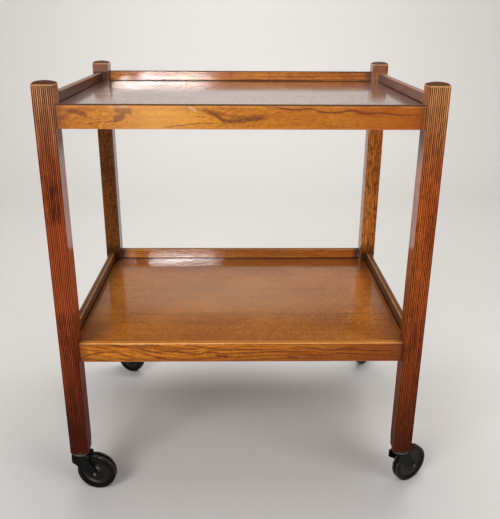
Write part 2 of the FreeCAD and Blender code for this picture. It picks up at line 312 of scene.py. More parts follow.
legOak = {
    "grain": "Z",
    "ringPitch": 0.0036,
    "ringWarp": 0.008,
    "ringDepth": 0.45,
    "mottleDepth": 0.40,
    "floor": tone(62, 18, 7),  # colour towards the leg's foot: partly a redder tone, partly painted shade
    "redden": (1.0, 0.66, 0.48, 1.0),  # share of each colour left below the tray on the front legs
    # dark quirks: dust with painted shade; pale crests: wear with painted highlight
    "quirk": tone(20, 8, 5),
    "crest": tone(246, 198, 142),
    "crestLow": tone(188, 86, 44),
    "crestFoot": tone(112, 42, 20),
    "top": tone(62, 38, 24),
    "shade": tone(34, 14, 6),  # painted shade close under the tray, and painted shade with dirt above it and with grime at the shelf
    "specular": 0.04,
    "coat": 0.80,
    "coatRoughness": 0.09,
    "faceGloss": 0.04,  # share of the coat left on the outward faces
}

legPlaces = {
    "front_left": {
        "shift": (0.11, 0.02, 0.05), "pith": (-0.05, -0.09), "floorReach": 0.42, "glossSpan": (0.42, 0.49),
        "pale": tone(176, 100, 54), "mid": tone(134, 66, 34), "dark": tone(56, 22, 12),
        "mottleScale": (24.0, 150.0), "mottleDepth": 0.55,
        "patches": ({"across": (-0.292, 0.005), "up": (0.545, 0.035), "depth": 0.62, "flecked": True,
                     "colour": tone(44, 14, 8)},
                    {"across": (-0.294, 0.016), "up": (0.440, 0.070), "depth": 0.55, "flecked": False,
                     "colour": tone(176, 82, 40)})},
    "front_right": {
        "shift": (0.73, -0.03, 0.02), "pith": (0.06, -0.08), "floorReach": 0.56, "glossSpan": (0.36, 0.46),
        "pale": tone(216, 134, 62), "mid": tone(166, 90, 36), "dark": tone(72, 32, 12), "mottleDepth": 0.55,
        "patches": ({"across": (0.300, 0.005), "up": (0.640, 0.030), "depth": 0.55, "flecked": True,
                     "colour": tone(64, 26, 12)},)},
    "rear_left": {
        "shift": (1.31, 0.04, -0.06), "pith": (-0.07, 0.06), "floorReach": 0.42,
        "pale": tone(138, 76, 22), "mid": tone(98, 51, 12), "dark": tone(40, 18, 5),
        "ringDepth": 0.70, "mottleDepth": 0.60, "above": tone(146, 96, 66), "aboveShare": 0.65,
        "shadeShare": 0.92, "dirtAndShadeSpan": (-0.300, -0.284)},
    "rear_right": {
        "shift": (1.87, -0.02, -0.03), "pith": (0.05, 0.09), "floorReach": 0.42,
        "pale": tone(228, 138, 56), "mid": tone(186, 102, 36), "dark": tone(66, 30, 10),
        "ringDepth": 0.80, "mottleDepth": 0.75, "above": tone(108, 62, 38), "aboveShare": 0.75,
        "shadeShare": 0.25, "dirtAndShadeSpan": (-1.0, 1.0)},
}

# spans are in metres, from the edge, face or floor that they belong to
legWear = {
    "redSpan": (0.56, 0.73),
    "floorFrom": 0.05,
    "floorDepth": 0.92,
    "varnishStrip": (0.0008, 0.0006),  # half width and softness of the face that has kept its varnish
    "varnishShelf": (-0.03, 0.02),
    "varnishTray": (-0.045, -0.015),
    "varnishLow": 0.30,
    "varnishTop": 0.25,
    # painted shade under the tray, and painted shade with grime at the shelf and with dirt above the tray
    "shadeRise": (-0.075, -0.035),
    "shadeStop": (0.0, 0.001),
    "sideSpan": (0.003, 0.006),
    "sideShade": 0.60,
    "innerSpan": (0.002, 0.006),
    "forwardSpan": (0.003, 0.012),  # rear legs are marked on their forward side alone
    "grimeAndShadeFade": (0.012, 0.050),
    "grimeAndShadeStart": (-0.008, -0.001),
    "grimeAndShadeDepth": 0.80,
    "aboveStart": (-0.0015, 0.0005),
    "trayStart": (-0.001, 0.0),
    "dirtAndShadeDepth": 0.60,
    "patchEdge": (0.006, 0.016),
    "flecks": ((300.0, 1.0, 60.0), 3.0, 0.65),  # repeats per metre, detail and roughness of a noise
    "fleckMask": (0.44, 0.56, 0.15, 1.0),  # span of the noise, and the shares that it turns into
    "reedFace": (0.0011, 0.0006),
    "patches": ((420.0, 1.0, 10.0), 3.0, 0.65),
    "quirkMask": (0.30, 0.58, 0.45, 0.95),
    "crestMask": (0.38, 0.50, 0.66),
    "quirkSpan": (0.20, 0.42),  # shares of a reed's width, from its crest
    "crestSpan": (0.08, 0.30),
    "topCrests": (0.55, 0.72, 0.0, 0.30),
    "lowCrests": (0.08, 0.40),
    "highCrests": (0.56, 0.76),
    "capSpan": (-0.0006, 0.0004),
    "capDepth": 0.88,
    "capDull": 0.5,
    "rim": (-0.0012, 0.0006, 0.0008),
    "rimDepth": 0.40,
}


def reedPitch():
    return (legSide - 2 * legShape["reedMargin"]) / legShape["reedCount"]


def reedColumns():
    # places across the reeded face, close together where a reed turns down into its quirk
    margin, steps = legShape["reedMargin"], legShape["reedSteps"]
    shares = [0.5 - 0.5 * math.cos(math.pi * step / steps) for step in range(1, steps + 1)]
    columns = [margin + reedPitch() * (reed + share)
               for reed in range(legShape["reedCount"]) for share in shares]
    return [0.0, margin] + columns + [legSide]


def reedHollow(x):
    # how far the face lies behind the crests of the reeds at x
    margin, rise, half = legShape["reedMargin"], legShape["reedRise"], reedPitch() / 2
    if x < margin - hair or x > legSide - margin + hair:
        return 0.0
    radius = (half ** 2 + rise ** 2) / (2 * rise)
    off = (x - margin) % (2 * half) - half
    return min(rise, radius - math.sqrt(max(radius ** 2 - off ** 2, 0.0)))


def legMarks(corner):
    low, high = legBoxes[corner]
    front = corner.startswith("front")
    inner = high.x if corner.endswith("left") else low.x
    crown = high.z - legShape["domeRise"]
    trayFace, shelfFace = [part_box(panelNodes[level])[1].z for level in ("upper", "lower")]
    trayUnder, railTop = [point.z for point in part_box("upper_back_rail")]
    place, wear, shadeTone = legPlaces[corner], legWear, legOak["shade"]

    def marks(colour, vector, parts):
        x, y, z = parts
        # redder below the tray, and darker towards the floor, partly as painted shade
        if front:
            colour = blend(fade(z, *wear["redSpan"]), colour, legOak["redden"], "MULTIPLY")
        foot = fade(z, wear["floorFrom"], place["floorReach"], wear["floorDepth"])
        colour = blend(foot, colour, legOak["floor"])
        gloss = band(x, inner, *wear["varnishStrip"]) * ease(z, *near(shelfFace, wear["varnishShelf"]))
        if front:
            gloss = gloss * ease(z, *place["glossSpan"], wear["varnishLow"], 1.0)
            gloss = gloss * ease(z, *near(trayUnder, wear["varnishTray"]), 1.0, wear["varnishTop"])
        gloss = largest(gloss, legOak["faceGloss"])
        # painted shade close under the tray; on the front legs only on their inward face, back from the reeds
        shade = ease(z, *near(trayUnder, wear["shadeRise"])) * fade(z, *near(trayUnder, wear["shadeStop"]))
        if front:
            side = ease(y, *near(low.y, wear["sideSpan"]), 0.0, wear["sideShade"])
            shade = shade * (side * fade(abs(x - inner), *wear["innerSpan"]))
            colour = blend(shade, colour, shadeTone)
        else:
            forward = fade(y, *near(low.y, wear["forwardSpan"]))
            # painted shade with grime where the shelf's rails meet the leg
            grimeAndShade = fade(z, *near(shelfFace, wear["grimeAndShadeFade"]), wear["grimeAndShadeDepth"]) * forward
            colour = blend(grimeAndShade * ease(z, *near(shelfFace, wear["grimeAndShadeStart"])), colour, shadeTone)
            # painted shade close under the tray, painted shade with dirt just above it, varnish kept up there
            above = ease(z, *near(railTop, wear["aboveStart"])) * forward
            colour = blend(above * place["aboveShare"], colour, place["above"])
            overTray = ease(z, *near(trayFace, wear["trayStart"]))
            dirtAndShade = overTray * (wear["dirtAndShadeDepth"] - above * wear["dirtAndShadeDepth"]) * fade(x, *place["dirtAndShadeSpan"])
            colour = blend(largest(shade * place["shadeShare"], dirtAndShade) * forward, colour, shadeTone)
            gloss = largest(gloss, overTray)
        # patches of dark stain, and of paler wood, down the face
        for patch in place.get("patches", ()):
            softAcross, softUp = wear["patchEdge"]
            mask = band(x, *patch["across"], softAcross) * band(z, *patch["up"], softUp)
            if patch["flecked"]:
                mask = mask * ease(noise(vector, *wear["flecks"]), *wear["fleckMask"])
            colour = blend(mask * patch["depth"], colour, patch["colour"])
        # dark quirks between the reeds, partly old polish and dust, partly painted shade; pale crests, partly
        # worn, partly painted highlight, more of them towards the top
        onFace = band(y, low.y if front else high.y, *wear["reedFace"])
        reed = calc("FRACT", (x - (low.x + legShape["reedMargin"])) / reedPitch())
        fromCrest = abs(reed - 0.5)
        worn = noise(vector, *wear["patches"])
        quirk = ease(fromCrest, *wear["quirkSpan"]) * ease(worn, *wear["quirkMask"]) * onFace
        onCrest = fade(fromCrest, *wear["crestSpan"])
        crest = largest(onCrest * fade(worn, *wear["crestMask"]), ease(z, *wear["topCrests"]) * onCrest)
        rubbedAndHighlit = blend(ease(z, *wear["lowCrests"]), legOak["crestFoot"], legOak["crestLow"])
        rubbedAndHighlit = blend(ease(z, *wear["highCrests"]), rubbedAndHighlit, legOak["crest"])
        colour = blend(quirk, colour, legOak["quirk"])
        colour = blend(crest * onFace, colour, rubbedAndHighlit)
        # dark end grain on the domed top, and light where its rim has rubbed, with a painted highlight
        cap = ease(z, *near(crown, wear["capSpan"]))
        colour = blend(cap * wear["capDepth"], colour, legOak["top"])
        rimDrop, rimHalf, rimSoft = wear["rim"]
        colour = blend(band(z, crown + rimDrop, rimHalf, rimSoft) * wear["rimDepth"], colour, legOak["crest"])
        return colour, largest(cap * wear["capDull"], quirk), gloss

    return marks


def isUpright(edge):
    a, b = edge.verts
    return abs(a.co.z - b.co.z) > legSide and (a.co.xy - b.co.xy).length < hair


def isCornerEdge(edge):
    spot = edge.verts[0].co
    return max(min(spot.x, legSide - spot.x), min(spot.y, legSide - spot.y)) < hair


def cutGeometry(bm, place, normal, **choices):
    whole = bm.verts[:] + bm.edges[:] + bm.faces[:]
    return bmesh.ops.bisect_plane(bm, geom=whole, dist=mergeReach, plane_co=place, plane_no=normal, **choices)


def softenEdges(bm, edges, offset, segments):
    bmesh.ops.bevel(bm, geom=edges, offset=offset, segments=segments, profile=0.5,
                    affect="EDGES", material=-1)


def moveExtruded(bm, extruded, step):
    verts = [part for part in extruded["geom"] if isinstance(part, bmesh.types.BMVert)]
    bmesh.ops.translate(bm, verts=verts, vec=step)


def addLeg(corner):
    low, high = legBoxes[corner]
    columns, rows = reedColumns(), list(legShape["rows"]) + [legSide]
    lastColumn, lastRow = len(columns) - 1, len(rows) - 1
    crown = high.z - legShape["domeRise"]
    bm = bmesh.new()
    bmesh.ops.create_grid(bm, x_segments=lastColumn, y_segments=lastRow, size=0.5)
    for vert in bm.verts:
        row = round((vert.co.y + 0.5) * lastRow)
        x = columns[round((vert.co.x + 0.5) * lastColumn)]
        vert.co = Vector((x, rows[row] if row else reedHollow(x), 0.0))
    moveExtruded(bm, bmesh.ops.extrude_face_region(bm, geom=list(bm.faces)), (0.0, 0.0, low.z - crown))
    arrises = [edge for edge in bm.edges if isUpright(edge) and isCornerEdge(edge)]
    softenEdges(bm, arrises, legShape["arris"], legShape["arrisSteps"])
    # the domed top, with its rim eased
    rise, reachSquared = legShape["domeRise"], legSide ** 2 / 2
    radius = (reachSquared + rise ** 2) / (2 * rise)
    for vert in [vert for vert in bm.verts if vert.co.z > -legShape["arris"]]:
        x, y = vert.co.x, vert.co.y
        squared = min((x - legSide / 2) ** 2 + (y - legSide / 2) ** 2, reachSquared)
        fromEdge = min(x, legSide - x, legSide - y, max(y - legShape["quirkReach"], 0.0))
        drop = legShape["rimDrop"] * max(0.0, 1.0 - fromEdge / legShape["rimWidth"]) ** 2
        vert.co.z = rise - radius + math.sqrt(radius ** 2 - squared) - drop
    sides = [edge for edge in bm.edges if isUpright(edge)]
    bmesh.ops.subdivide_edges(bm, edges=sides, cuts=legShape["lengthCuts"], use_grid_fill=False)
    # the slanting relief on the foot's inward face
    depth, height = legShape["footDepth"], legShape["footHeight"]
    cut = cutGeometry(bm, (0.0, legSide - depth, low.z - crown), Vector((0.0, height, -depth)).normalized(),
                      clear_outer=True)
    rim = [part for part in cut["geom_cut"] if isinstance(part, bmesh.types.BMEdge)]
    bmesh.ops.holes_fill(bm, edges=rim, sides=0)
    for vert in bm.verts:
        y = low.y + vert.co.y if corner.startswith("front") else high.y - vert.co.y
        vert.co = Vector((low.x + vert.co.x, y, crown + vert.co.z))
    return bm


def makeObject(bm, name, material):
    mesh = bpy.data.meshes.new(name)
    bm.to_mesh(mesh)
    bm.free()
    mesh.materials.append(material)
    mesh.shade_smooth()
    made = bpy.data.objects.new(name, mesh)
    bpy.context.scene.collection.objects.link(made)
    return made


def finishPiece(bm, name, material, body, node):
    bmesh.ops.remove_doubles(bm, verts=bm.verts, dist=mergeReach)
    bmesh.ops.recalc_face_normals(bm, faces=bm.faces)
    piece = makeObject(bm, name, material)
    piece.data.set_sharp_from_angle(angle=math.radians(creaseAngle))
    # large flat faces keep their own normals, so that only the eased edges shade round
    weights = piece.modifiers.new("flatFaces", "WEIGHTED_NORMAL")
    weights.mode = "FACE_AREA"
    weights.weight = 50
    weights.keep_sharp = True
    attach(piece, body)
    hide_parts(node)


for corner in cornerNames:
    oak = oakMaterial("legOak_" + corner, {**legOak, **legPlaces[corner]}, legMarks(corner))
    finishPiece(addLeg(corner), "reededLeg_" + corner, oak, frameBody, "leg_" + corner)
print("legs made")


railShape = {
    "topRound": (0.0016, 4),  # width and segments of an eased edge
    "bottomRound": (0.0007, 2),
    "endChamfer": (0.0012, 1),  # V against the leg on the front rails
    "endEase": (0.0004, 2),
    "grooveDepth": 0.004,
    "panelRebate": 0.003,  # from the panel's face down to its tongue
    "panelSlack": 0.00015,
}

railOak = {
    "pale": tone(188, 112, 24),
    "mid": tone(162, 86, 18),
    "dark": tone(98, 42, 8),
    "arris": tone(232, 176, 106),  # edges rubbed by hands, with a painted highlight on them
    "joint": tone(30, 14, 9),
    "topWearAndLight": tone(58, 38, 22),  # dark worn tops where no varnish is left; the upper side rails have a grey painted reflection there instead, the lower front painted light
    "topShade": 0.0,
    "topDull": 1.0,
    "rubbedAndHighlit": (0.45, 0.45),  # wear and painted highlight of the outer and the inner top arris
    # painted highlight line under the front rails' top arris
    "sheenLine": 0.10,
    "footShade": 0.0,
    "footHighlightTone": tone(196, 112, 84),  # painted highlight: pale line under a front rail
    "edgeLine": 0.15,  # light line on the eased ends, rubbed and with a painted highlight
    "legJointShade": (0.45, 0.45),  # painted shade, darkening towards the two ends where they meet the legs
    "legJointShadeTone": tone(96, 44, 22),
    "legJointShadeReach": 0.020,
    "coatFade": (1.0, 2.0, 1.0),  # start and end along the rail, share of the coat left there
}

railPlaces = {
    "upper_front": {
        "shift": (0.2, 0.0, 0.0), "pith": (-0.15, 0.64), "ringDepth": 0.16, "ringPitch": 0.006,
        "pale": tone(222, 144, 24), "mid": tone(198, 112, 14), "dark": tone(126, 58, 10),
        "mottleScale": (150.0, 420.0), "mottleDepth": 0.55, "cloudScale": (14.0, 50.0),
        "fleckScale": (260.0, 420.0), "fleckDepth": 0.38, "fleck": tone(238, 170, 60),
        "topShade": 0.96, "rubbedAndHighlit": (0.05, 0.80), "sheenLine": 0.30, "edgeLine": 0.35,
        "shadeAlong": (-0.06, 0.27, 0.74), "shadeAlongTone": tone(150, 66, 8),
        "sheenPool": (-0.130, 0.50), "sheenPoolTone": tone(244, 176, 92), "specular": 0.10, "coat": 0.06},
    "upper_back": {
        "shift": (0.9, 0.0, 0.0), "pith": (0.33, 0.60), "ringDepth": 0.60,
        "pale": tone(216, 132, 30), "mid": tone(188, 102, 22), "topShade": 0.96, "rubbedAndHighlit": (0.10, 0.0),
        "legJointShade": (0.0, 0.70), "legJointShadeTone": tone(70, 30, 16), "specular": 0.10, "coat": 1.0,
        "coatRoughness": 0.07, "coatFade": (-0.10, 0.05, 0.42), "coatPatch": 0.40},
    "upper_left": {
        "shift": (1.7, 0.0, 0.0), "pith": (-0.24, 0.62), "ringDepth": 0.5,
        "pale": tone(78, 43, 25), "mid": tone(60, 32, 19), "dark": tone(36, 19, 11),
        # grey top: a painted reflection of the backdrop
        "topWearAndLight": tone(140, 118, 100), "topShade": 0.65, "rubbedAndHighlit": (0.30, 0.08),
        "legJointShade": (0.96, 0.60), "legJointShadeReach": 0.090, "legJointShadeTone": tone(30, 14, 9)},
    "upper_right": {
        "shift": (2.6, 0.0, 0.0), "pith": (0.24, 0.62), "ringDepth": 0.5,
        "pale": tone(164, 106, 84), "mid": tone(134, 84, 68), "dark": tone(84, 50, 38),
        "shadeAlong": (0.02, 0.19, 0.60), "shadeAlongTone": tone(70, 36, 24),
        # grey top: a painted reflection of the backdrop
        "topWearAndLight": tone(140, 116, 106), "topShade": 0.65, "rubbedAndHighlit": (0.30, 0.08),
        "legJointShade": (0.60, 0.60), "legJointShadeReach": 0.060, "legJointShadeTone": tone(60, 32, 24)},
    "lower_front": {
        "shift": (3.1, 0.0, 0.0), "pith": (-0.185, 0.235), "ringDepth": 0.62, "ringPitch": 0.0050,
        "ringWarp": 0.022, "bow": (2.82, 3.02, 0.022),
        "pale": tone(220, 134, 26), "mid": tone(184, 98, 12), "dark": tone(96, 38, 5),
        "mottleScale": (50.0, 300.0), "mottleDepth": 0.50,
        # golden top: painted light
        "topWearAndLight": tone(232, 144, 50), "topShade": 0.75, "topDull": 0.25, "rubbedAndHighlit": (0.55, 0.75),
        "footShade": 0.45, "edgeLine": 0.0, "shadeAlong": (-0.06, 0.27, 0.70), "shadeAlongTone": tone(112, 46, 4),
        "specular": 0.10, "coat": 0.10},
    "lower_back": {
        "shift": (4.2, 0.0, 0.0), "pith": (0.28, 0.20), "ringDepth": 0.8,
        "pale": tone(216, 134, 26), "mid": tone(187, 103, 16),
        "topWearAndLight": tone(90, 50, 24), "topShade": 0.60, "rubbedAndHighlit": (0.30, 0.30),
        "legJointShade": (0.85, 0.85), "legJointShadeTone": tone(44, 20, 11), "specular": 0.12, "coat": 1.0,
        "coatRoughness": 0.08, "coatFade": (-0.12, 0.04, 0.40), "coatPatch": 0.50},
    "lower_left": {
        "shift": (5.3, 0.0, 0.0), "pith": (-0.25, 0.20), "ringDepth": 0.55,
        "pale": tone(118, 67, 32), "mid": tone(92, 49, 20), "dark": tone(50, 26, 11), "rubbedAndHighlit": (0.65, 0.65)},
    "lower_right": {
        "shift": (6.4, 0.0, 0.0), "pith": (0.25, 0.20), "ringDepth": 0.55,
        "pale": tone(134, 78, 36), "mid": tone(106, 58, 24), "dark": tone(50, 26, 11),
        "rubbedAndHighlit": (0.65, 0.65)},
}

# spans are in metres, from the face, edge or end that they belong to
railWear = {
    "faceSkin": (0.0004, 0.0004),  # half width and softness of what counts as the outer face
    "sheenPoolReach": 0.10,
    "footSpan": (0.002, 0.017),
    "topSpan": (-0.0018, -0.0010),
    "patches": ((30.0, 30.0, 200.0), 3.0, 0.6),  # repeats per metre, detail and roughness of a noise
    "rubAndHighlightMask": (0.35, 0.65),  # span of the noise in which an arris's wear and painted highlight turn from little to full
    "rubAndHighlightShare": 0.5,  # share of the full wear and highlight that is left where it is little worn
    "arrisIn": 0.0006,
    "arrisDown": 0.0005,
    "arrisSpan": (0.000595, 0.0017),
    "sheenPlace": (-0.0026, 0.0004, 0.0010),
    "sheenMask": (0.3, 0.7),
    "footLine": (0.0004, 0.0024),
    "footLineDepth": 0.40,
    "insideSoftness": 0.001,
    "soilAndShadowSpan": (0.0010, 0.0012),
    "soilAndShadowDepth": 0.9,
    "legJointShadeStart": 0.002,
    "edgeSpan": (0.0020, 0.0006),
    "jointSpan": (0.0007, 0.0005),
    "jointDepth": 0.85,
    "ragged": ((140.0, 140.0, 260.0), 4.0, 0.7),
    "raggedReach": 0.004,
    "raggedMask": (0.30, 0.60),
    "raggedShare": 0.55,
    "endTaper": 0.12,  # share of a drawn mark's length over which it fades in or out
}

# stains, cracks and strong grain on the outer faces of the front rails, a painted shade at the upper front's
# left end and a painted highlight along the lower front's top arris, each drawn through (x, z) points,
# with its half width, its softness, its depth and its colour
stain, deepStain, darkStain = tone(122, 58, 16), tone(92, 40, 10), tone(92, 40, 14)
faceMarks = {
    "upper_front": [
        (((-0.190, 0.6945), (-0.177, 0.6936), (-0.164, 0.6905)), 0.0022, 0.0054, 0.72, tone(120, 82, 62)),
        (((-0.193, 0.6800), (-0.184, 0.6830), (-0.175, 0.6865)), 0.0024, 0.0052, 0.76, tone(108, 64, 50)),
        (((-0.198, 0.6985), (-0.186, 0.6990), (-0.170, 0.6985)), 0.0008, 0.0022, 0.60, tone(214, 170, 140)),
        # darker, redder left end: painted shade with wood tone
        (((-0.310, 0.6840), (-0.275, 0.6840), (-0.225, 0.6840)), 0.0120, 0.0120, 0.35, tone(160, 84, 30)),
        (((-0.264, 0.6905), (-0.253, 0.6922), (-0.243, 0.6900), (-0.232, 0.6870)),
         0.0014, 0.0046, 0.80, tone(112, 46, 20)),
        (((-0.275, 0.6800), (-0.268, 0.6828), (-0.258, 0.6850)), 0.0010, 0.0050, 0.60, tone(124, 54, 28)),
        (((-0.233, 0.6722), (-0.218, 0.6752), (-0.201, 0.6767), (-0.186, 0.6778), (-0.180, 0.6798)),
         0.0003, 0.0013, 0.62, tone(98, 48, 20)),
        (((-0.080, 0.6995), (-0.074, 0.6962), (-0.068, 0.6935)), 0.0010, 0.0022, 0.75, tone(226, 170, 140)),
        (((-0.083, 0.7008), (-0.077, 0.7011), (-0.070, 0.7005)), 0.0004, 0.0014, 0.80, tone(70, 34, 26)),
        (((-0.055, 0.6913), (-0.043, 0.6889), (-0.033, 0.6828), (-0.023, 0.6782), (-0.008, 0.6784),
          (0.010, 0.6806), (0.036, 0.6818)), 0.0012, 0.0040, 0.85, deepStain),
        (((-0.060, 0.6945), (-0.036, 0.6905), (-0.015, 0.6848), (0.005, 0.6835), (0.034, 0.6852)),
         0.0008, 0.0034, 0.70, stain),
        (((-0.116, 0.6686), (-0.091, 0.6714), (-0.066, 0.6740), (-0.040, 0.6753)),
         0.0003, 0.0014, 0.70, stain),
        (((0.037, 0.7003), (0.055, 0.6983), (0.065, 0.6961), (0.083, 0.6950), (0.101, 0.6965),
          (0.113, 0.6936), (0.131, 0.6916), (0.152, 0.6922), (0.164, 0.6946), (0.176, 0.6923),
          (0.191, 0.6894), (0.206, 0.6909), (0.234, 0.6880), (0.262, 0.6881)),
         0.0004, 0.0018, 0.86, darkStain),
        (((0.168, 0.6932), (0.184, 0.6906), (0.200, 0.6897)), 0.0014, 0.0030, 0.70, tone(120, 44, 16)),
    ],
    "lower_front": [
        (((-0.274, 0.2765), (-0.257, 0.2817), (-0.236, 0.2855), (-0.216, 0.2854), (-0.200, 0.2797),
          (-0.189, 0.2748), (-0.178, 0.2712)), 0.0005, 0.0018, 0.85, deepStain),
        (((-0.233, 0.2976), (-0.201, 0.2969), (-0.179, 0.2936), (-0.159, 0.2883), (-0.148, 0.2852),
          (-0.125, 0.2861), (-0.102, 0.2842), (-0.080, 0.2816)), 0.0005, 0.0018, 0.85, deepStain),
        (((-0.190, 0.2900), (-0.171, 0.2845), (-0.154, 0.2786), (-0.138, 0.2742)),
         0.0004, 0.0018, 0.75, deepStain),
        (((-0.165, 0.2989), (-0.145, 0.2968), (-0.125, 0.2924), (-0.102, 0.2908), (-0.076, 0.2908)),
         0.0004, 0.0018, 0.80, deepStain),
        (((-0.088, 0.2972), (-0.071, 0.2956), (-0.054, 0.2922), (-0.026, 0.2906), (0.006, 0.2905),
          (0.040, 0.2885)), 0.0005, 0.0018, 0.85, deepStain),
        (((-0.092, 0.2811), (-0.072, 0.2816), (-0.054, 0.2849), (-0.031, 0.2824), (-0.003, 0.2833),
          (0.026, 0.2838), (0.055, 0.2855), (0.110, 0.2853)), 0.0005, 0.0020, 0.85, deepStain),
        (((0.090, 0.2935), (0.126, 0.2926), (0.149, 0.2883), (0.183, 0.2915), (0.218, 0.2880),
          (0.247, 0.2870), (0.272, 0.2848)), 0.0005, 0.0022, 0.75, deepStain),
        (((0.095, 0.2820), (0.132, 0.2786), (0.169, 0.2818), (0.207, 0.2801), (0.272, 0.2765)),
         0.0005, 0.0022, 0.75, deepStain),
        (((-0.149, 0.2760), (-0.140, 0.2746), (-0.130, 0.2736)), 0.0010, 0.0026, 0.80, tone(118, 40, 14)),
        (((-0.044, 0.2788), (-0.034, 0.2776), (-0.023, 0.2772)), 0.0010, 0.0026, 0.85, tone(92, 36, 12)),
        (((0.080, 0.2752), (0.089, 0.2740), (0.099, 0.2752)), 0.0010, 0.0026, 0.80, tone(104, 40, 20)),
        # painted highlight along the top arris
        (((-0.215, 0.3013), (-0.114, 0.3014), (-0.030, 0.3013)), 0.0003, 0.0010, 0.80, tone(250, 214, 160)),
    ],
}


def railBounds(level, side):
    # the rail's box between the legs, without its tenons
    low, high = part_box(level + "_" + side + "_rail")
    if side in ("front", "back"):
        low.x, high.x = innerLeft, innerRight
    else:
        low.y, high.y = innerFront, innerRear
    return low, high


def railAxes(side):
    # the axis along a rail, the axis across it and its outward direction
    run = 0 if side in ("front", "back") else 1
    return run, 1 - run, -1 if side in ("front", "left") else 1


def addRail(level, side):
    low, high = railBounds(level, side)
    run, across, outward = railAxes(side)
    outer, inner = (low, high) if outward < 0 else (high, low)
    centre = (low + high) / 2
    bm = bmesh.new()
    bmesh.ops.create_cube(bm, size=1.0)
    bmesh.ops.scale(bm, verts=bm.verts, vec=high - low)
    bmesh.ops.translate(bm, verts=bm.verts, vec=centre)

    def edgesAlong(axis, chosen):
        # the edges along one axis whose middles are chosen
        ends = [(edge, edge.verts[0].co, edge.verts[1].co) for edge in bm.edges]
        return [edge for edge, a, b in ends
                if abs(abs((b - a)[axis]) - (b - a).length) < hair and chosen((a + b) / 2)]

    softenEdges(bm, edgesAlong(run, lambda middle: middle.z > centre.z), *railShape["topRound"])
    softenEdges(bm, edgesAlong(run, lambda middle: middle.z < low.z + hair), *railShape["bottomRound"])
    outerEnds = edgesAlong(2, lambda middle: abs(middle[across] - outer[across]) < hair)
    softenEdges(bm, outerEnds, *railShape["endChamfer" if side == "front" else "endEase"])

    # the groove that holds the panel's tongue
    grooveFoot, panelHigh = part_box(panelNodes[level])
    grooveTop = panelHigh.z - railShape["panelRebate"] + railShape["panelSlack"]
    for height in (grooveFoot.z, grooveTop):
        cutGeometry(bm, (0.0, 0.0, height), (0.0, 0.0, 1.0))
    strip = [face for face in bm.faces
             if abs(face.calc_center_median()[across] - inner[across]) < hair
             and grooveFoot.z < face.calc_center_median().z < grooveTop]
    pushed = bmesh.ops.extrude_face_region(bm, geom=strip)
    bmesh.ops.delete(bm, geom=strip, context="FACES")
    inward = Vector((0.0, 0.0, 0.0))
    inward[across] = outward * railShape["grooveDepth"]
    moveExtruded(bm, pushed, inward)
    return bm


def followMask(run, rise, points, halfWidth, softness):
    # 1 along a line drawn through (run, rise) points, fading at its ends
    runs, rises = zip(*points)
    low, high, bottom, top = min(runs), max(runs), min(rises), max(rises)
    curve = addNode(run.tree, "FloatCurve", {"Value": ease(run, low, high, course="LINEAR")})
    line = curve.mapping.curves[0]
    spots = [((x - low) / (high - low), (z - bottom) / max(top - bottom, hair)) for x, z in points]
    for spot in spots[1:-1]:
        line.points.new(*spot)
    line.points[0].location, line.points[-1].location = spots[0], spots[-1]
    curve.mapping.update()
    path = Field(run.tree, curve.outputs["Value"]) * (top - bottom) + bottom
    taper = (high - low) * railWear["endTaper"]
    ends = ease(run, low - taper, low + taper) * fade(run, high - taper, high + taper)
    return fade(abs(rise - path), halfWidth, halfWidth + softness) * ends


def drawnMarks(colour, vector, parts, onFace, drawn):
    # marks with ragged edges, only on the outer face
    ragged, share = noise(vector, *railWear["ragged"]), railWear["raggedShare"]
    rise = parts[2] + (ragged - 0.5) * railWear["raggedReach"]
    for points, halfWidth, softness, depth, markTone in drawn:
        mask = followMask(parts[0], rise, points, halfWidth, softness)
        mask = mask * ease(ragged, *railWear["raggedMask"], depth * share, depth)
        colour = blend(mask * onFace, colour, markTone)
    return colour


